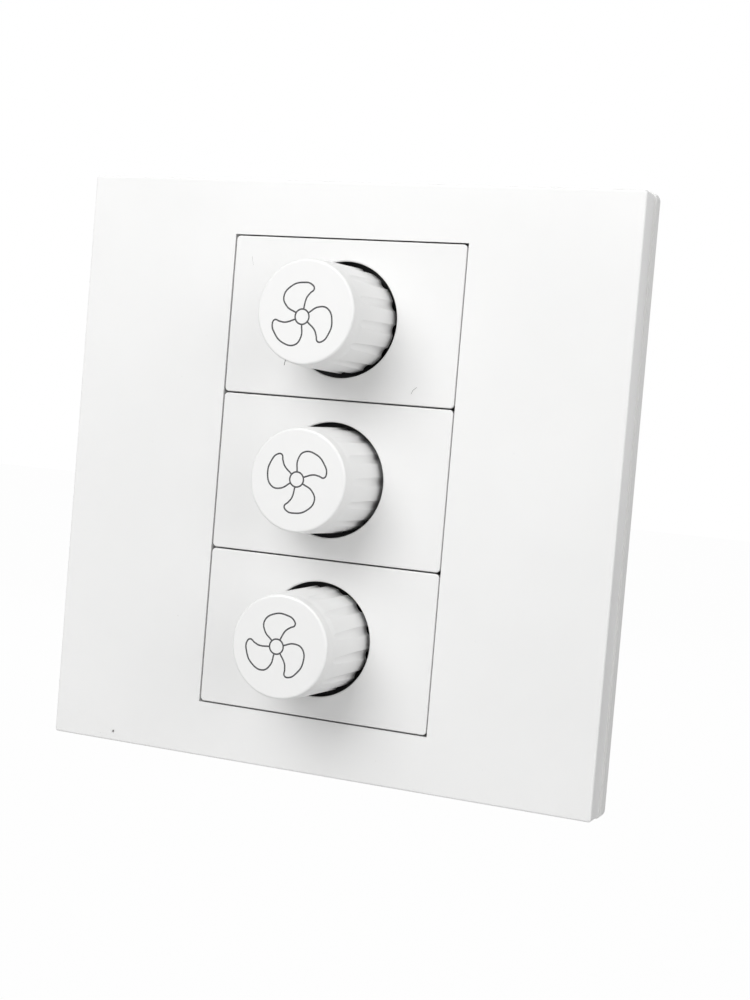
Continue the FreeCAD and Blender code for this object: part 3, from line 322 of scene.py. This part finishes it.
def lay_over(finish, colour, cover):
    """Lay a colour over what a finish shows, by the amount cover."""
    tree = finish.node_tree
    base = tree.nodes["Principled BSDF"].inputs["Base Color"]
    surface = tree.nodes.new("ShaderNodeMix")
    surface.data_type = "RGBA"
    surface.inputs["B"].default_value = colour
    tree.links.new(cover, surface.inputs["Factor"])
    tree.links.new(base.links[0].from_socket, surface.inputs["A"])
    tree.links.new(surface.outputs["Result"], base)


def settle_dust(finish):
    """Lay sparse specks of house dust, about 0.2 mm across, on a finish."""
    tree = finish.node_tree
    place = tree.nodes["Texture Coordinate"].outputs["Object"]
    specks = tree.nodes.new("ShaderNodeTexVoronoi")
    specks.inputs["Scale"].default_value = SPECKS_PER_METRE
    tree.links.new(place, specks.inputs["Vector"])
    distance = specks.outputs["Distance"]
    lay_over(finish, DUST_GREY, add_range(tree, distance, SPECK_COVER, 0.0, SPECK_CORE, SPECK_EDGE))


def paint_joint_shade(finish, front):
    """Paint shade on what faces up or down behind the level front, darkening the walls of a joint
    where shade falls.
    """
    tree = finish.node_tree
    place = tree.nodes["Texture Coordinate"].outputs["Object"]
    level = tree.nodes.new("ShaderNodeSeparateXYZ")
    tree.links.new(place, level.inputs["Vector"])
    depth = level.outputs["Y"]
    shaded = add_range(tree, depth, 0.0, JOINT_SHADE_COVER, front + JOINT_SHADE_START, front + JOINT_SHADE_FULL)
    surface = tree.nodes.new("ShaderNodeNewGeometry")
    slope = tree.nodes.new("ShaderNodeSeparateXYZ")
    tree.links.new(surface.outputs["True Normal"], slope.inputs["Vector"])
    ledge = tree.nodes.new("ShaderNodeMath")
    ledge.operation = "ABSOLUTE"
    tree.links.new(slope.outputs["Z"], ledge.inputs[0])
    # Painted shade: the joint walls are darkened in their colour, not by light.
    lay_over(finish, JOINT_SHADE_BLACK, join(tree, "MULTIPLY", shaded, ledge.outputs["Value"]))


face_polycarbonate = moulded_plastic(
    "face_polycarbonate", FACE_WHITE, roughness=0.4, grain_height=0.000006
)
settle_dust(face_polycarbonate)
# Painted shade darkens the joints between the faces.
paint_joint_shade(face_polycarbonate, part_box("module_face_top")[0][1])
finish_modules("module_face", face_polycarbonate)

# Front panel: the square cover plate that clips over the frame. It is white polycarbonate from
# a polished tool, a little glossier than the frame behind it.
PANEL_WHITE = (0.86, 0.86, 0.855, 1.0)

panel_polycarbonate = moulded_plastic(
    "panel_polycarbonate", PANEL_WHITE, roughness=0.36, grain_height=0.000006
)
settle_dust(panel_polycarbonate)
finish_node("front_panel", panel_polycarbonate)

# Knobs: turned by the fingers, so moulded in hard glossy white ABS, with low grip ridges that
# start behind a plain front band. Each is pushed on the flat of its shaft.
KNOB_WHITE = (0.86, 0.86, 0.855, 1.0)

knob_abs = moulded_plastic(
    "knob_abs", KNOB_WHITE, roughness=0.3, grain_height=0.000004, flow_depth=0.02
)
finish_modules("knob", knob_abs)

# Fan outlines: the sign for fan speed on each knob, a hub ring and three blades. They are pad
# printed in dark grey ink on the flat face, so they stand proud by a hundredth of a millimetre.
INK_GREY = (0.075, 0.075, 0.080, 1.0)
LINE_WIDTH = 0.00023
LINE_STEPS = 16
INK_THICKNESS = 0.1
INK_CLOUDS_PER_METRE = 1400.0
HUB_RADIUS = 0.00105
BLADES = 3
BLADE_MM = (
    (0.15, 1.08),
    (0.48, 2.61),
    (0.95, 3.26),
    (1.51, 3.91),
    (1.08, 4.50),
    (-0.12, 4.69),
    (-1.83, 4.19),
    (-2.99, 2.61),
    (-2.43, 1.32),
    (-0.95, 0.50),
)
BLADE_TIP_DEGREES = 68.6
PRINT_DEGREES = {"top": 68.6, "middle": 7.8, "bottom": 51.9}
PRINT_SHIFT_MM = {"top": (-0.4, -0.7), "middle": (-0.1, 0.1), "bottom": (-0.4, 0.0)}


def matt_ink(name, colour):
    """Printing ink: matt, slightly uneven where the pad lifted off."""
    return moulded_plastic(
        name, colour, roughness=0.6, grain_height=0.000004, flow_depth=0.35,
        flow_clouds=INK_CLOUDS_PER_METRE,
    )


def run_through(spline, places):
    """Run a Bezier spline smoothly through places."""
    spline.bezier_points.add(len(places) - len(spline.bezier_points))
    for point, place in zip(spline.bezier_points, places):
        point.co = place
        point.handle_left_type = "AUTO"
        point.handle_right_type = "AUTO"


outline_ink = matt_ink("outline_ink", INK_GREY)
for module in MODULES:
    low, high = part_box(f"knob_{module}")
    bpy.ops.object.select_all(action="DESELECT")
    bpy.ops.curve.primitive_bezier_circle_add(radius=HUB_RADIUS)
    outline = bpy.context.object
    outline.name = f"fan_outline_{module}"
    outline.data.bevel_depth = LINE_WIDTH / 2
    outline.data.bevel_resolution = 2
    outline.data.resolution_u = LINE_STEPS
    outline.data.use_fill_caps = True
    for blade in range(BLADES):
        degrees = PRINT_DEGREES[module] - BLADE_TIP_DEGREES + blade * 360 / BLADES
        turn = Matrix.Rotation(math.radians(degrees), 3, "Z")
        spline = outline.data.splines.new("BEZIER")
        spline.resolution_u = LINE_STEPS
        run_through(spline, [turn @ Vector((across, up, 0)) / 1000 for across, up in BLADE_MM])
    bpy.ops.object.convert(target="MESH")
    outline = bpy.context.object
    outline.scale = (1, 1, INK_THICKNESS)
    outline.rotation_euler = (math.radians(90), 0, 0)
    across, up = PRINT_SHIFT_MM[module]
    outline.location = (across / 1000, low[1], (low[2] + high[2]) / 2 + up / 1000)
    bpy.ops.object.transform_apply(location=True, rotation=True, scale=True)
    outline.data.materials.append(outline_ink)
    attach(outline, f"{module}_control")

# Dust fibres: a few short threads of household lint. Two lie on the top module's face, one hangs
# from the rim of its knob, where the flat face ends, and a crumb sticks low on the panel.
LINT_GREY = (0.16, 0.155, 0.15, 1.0)
FIBRES = (
    (
        "switch_body",
        "module_face_top",
        0.022,
        ((11.55, -0.022, 13.3), (11.8, -0.022, 13.85), (12.35, -0.022, 14.3)),
    ),
    (
        "switch_body",
        "module_face_top",
        0.009,
        ((-15.3, -0.009, 31.7), (-15.2, -0.009, 31.1), (-15.0, -0.009, 30.4)),
    ),
    (
        "top_control",
        "knob_top",
        0.045,
        ((-2.4, 0.05, 16.45), (-2.5, 0.1, 16.1), (-2.65, 0.3, 15.75)),
    ),
    (
        "switch_body",
        "front_panel",
        0.11,
        ((-32.61, -0.11, -41.63), (-32.58, -0.11, -41.5), (-32.54, -0.11, -41.36)),
    ),
)

lint = matt_ink("lint", LINT_GREY)
for number, (body, under, radius_mm, path_mm) in enumerate(FIBRES, start=1):
    front = Vector((0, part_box(under)[0][1], 0))
    bpy.ops.object.select_all(action="DESELECT")
    bpy.ops.curve.primitive_bezier_curve_add()
    fibre = bpy.context.object
    fibre.name = f"dust_fibre_{number}"
    fibre.data.bevel_depth = radius_mm / 1000
    fibre.data.bevel_resolution = 1
    fibre.data.use_fill_caps = True
    run_through(fibre.data.splines[0], [front + Vector(place) / 1000 for place in path_mm])
    bpy.ops.object.convert(target="MESH")
    fibre = bpy.context.object
    fibre.data.materials.append(lint)
    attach(fibre, body)

# Studio: a pale floor well below the plate, a bright even surround, a soft box above the plate
# and in front of it, a wide weak one at the right, and one behind that lights the modules.
FLOOR_LEVEL = -0.16
FLOOR_SIZE = 6.0
FLOOR_WHITE = (0.62, 0.62, 0.62, 1.0)
FLOOR_ROUGHNESS = 0.9
FLOOR_LIFT = 0.98
SURROUND_WHITE = (1.0, 1.0, 1.0, 1.0)
SURROUND_LIGHT = 0.37
BACKDROP_LIGHT = 1.0
KEY_POWER = 1.58
KEY_SIZE = 0.34
KEY_PLACE = (-0.09, -0.39, 0.275)
FILL_POWER = 2.85
FILL_SIZE = 0.8
FILL_PLACE = (0.8, -0.45, 0.3)
BACK_POWER = 3.5
BACK_SIZE = 0.8
BACK_PLACE = (-0.5, 0.9, 0.45)


def blend_shaders(tree, amount, under, over, output):
    """Show one shader in place of another at an output, by the amount given."""
    blend = tree.nodes.new("ShaderNodeMixShader")
    tree.links.new(amount, blend.inputs["Fac"])
    tree.links.new(under, blend.inputs[1])
    tree.links.new(over, blend.inputs[2])
    tree.links.new(blend.outputs["Shader"], tree.nodes[output].inputs["Surface"])


bpy.ops.object.select_all(action="DESELECT")
bpy.ops.mesh.primitive_plane_add(size=FLOOR_SIZE, location=(0, 0, FLOOR_LEVEL))
floor = bpy.context.object
floor.name = "studio_floor"
paper = bpy.data.materials.new("floor_paper")
paper.use_nodes = True
tree = paper.node_tree
shader = tree.nodes["Principled BSDF"]
shader.inputs["Base Color"].default_value = FLOOR_WHITE
shader.inputs["Roughness"].default_value = FLOOR_ROUGHNESS
seen = tree.nodes.new("ShaderNodeLightPath").outputs["Is Camera Ray"]
lifted = add_range(tree, seen, 0.0, FLOOR_LIFT)
white = tree.nodes.new("ShaderNodeEmission").outputs["Emission"]
blend_shaders(tree, lifted, shader.outputs["BSDF"], white, "Material Output")
floor.data.materials.append(paper)

world = bpy.data.worlds.new("studio_surround")
bpy.context.scene.world = world
world.use_nodes = True
tree = world.node_tree
surround = tree.nodes["Background"]
surround.inputs["Color"].default_value = SURROUND_WHITE
surround.inputs["Strength"].default_value = SURROUND_LIGHT
backdrop = tree.nodes.new("ShaderNodeBackground")
backdrop.inputs["Color"].default_value = SURROUND_WHITE
backdrop.inputs["Strength"].default_value = BACKDROP_LIGHT
seen = tree.nodes.new("ShaderNodeLightPath").outputs
mirrored = join(tree, "MAXIMUM", seen["Is Glossy Ray"], seen["Is Transmission Ray"])
direct = join(tree, "MAXIMUM", seen["Is Camera Ray"], mirrored)
blend_shaders(
    tree, direct, surround.outputs["Background"], backdrop.outputs["Background"], "World Output"
)

for name, power, size, place in (
    ("key_softbox", KEY_POWER, KEY_SIZE, KEY_PLACE),
    ("fill_softbox", FILL_POWER, FILL_SIZE, FILL_PLACE),
    ("back_softbox", BACK_POWER, BACK_SIZE, BACK_PLACE),
):
    bpy.ops.object.light_add(type="AREA", location=place)
    lamp = bpy.context.object
    lamp.name = name
    lamp.data.energy = power
    lamp.data.size = size
    lamp.rotation_euler = (-Vector(place)).to_track_quat("-Z", "Y").to_euler()

# Camera: a short telephoto lens, held level with the plate and to the right of it, so that the
# plate's right side and the sides of the knobs show.
CAMERA_PLACE = (0.09973, -0.23114, 0.00922)
CAMERA_LOOK = (-0.38048, 0.92360, -0.04693)
CAMERA_UP = (-0.09519, 0.01136, 0.99539)
LENS_MM = 61.06
NEAREST = 0.01

bpy.ops.object.camera_add(location=CAMERA_PLACE)
camera = bpy.context.object
look = Vector(CAMERA_LOOK).normalized()
right = look.cross(Vector(CAMERA_UP)).normalized()
camera.rotation_euler = Matrix((right, right.cross(look), -look)).transposed().to_euler()
camera.data.lens = LENS_MM
camera.data.clip_start = NEAREST
bpy.context.scene.camera = camera
bpy.context.scene.view_settings.view_transform = "Standard"
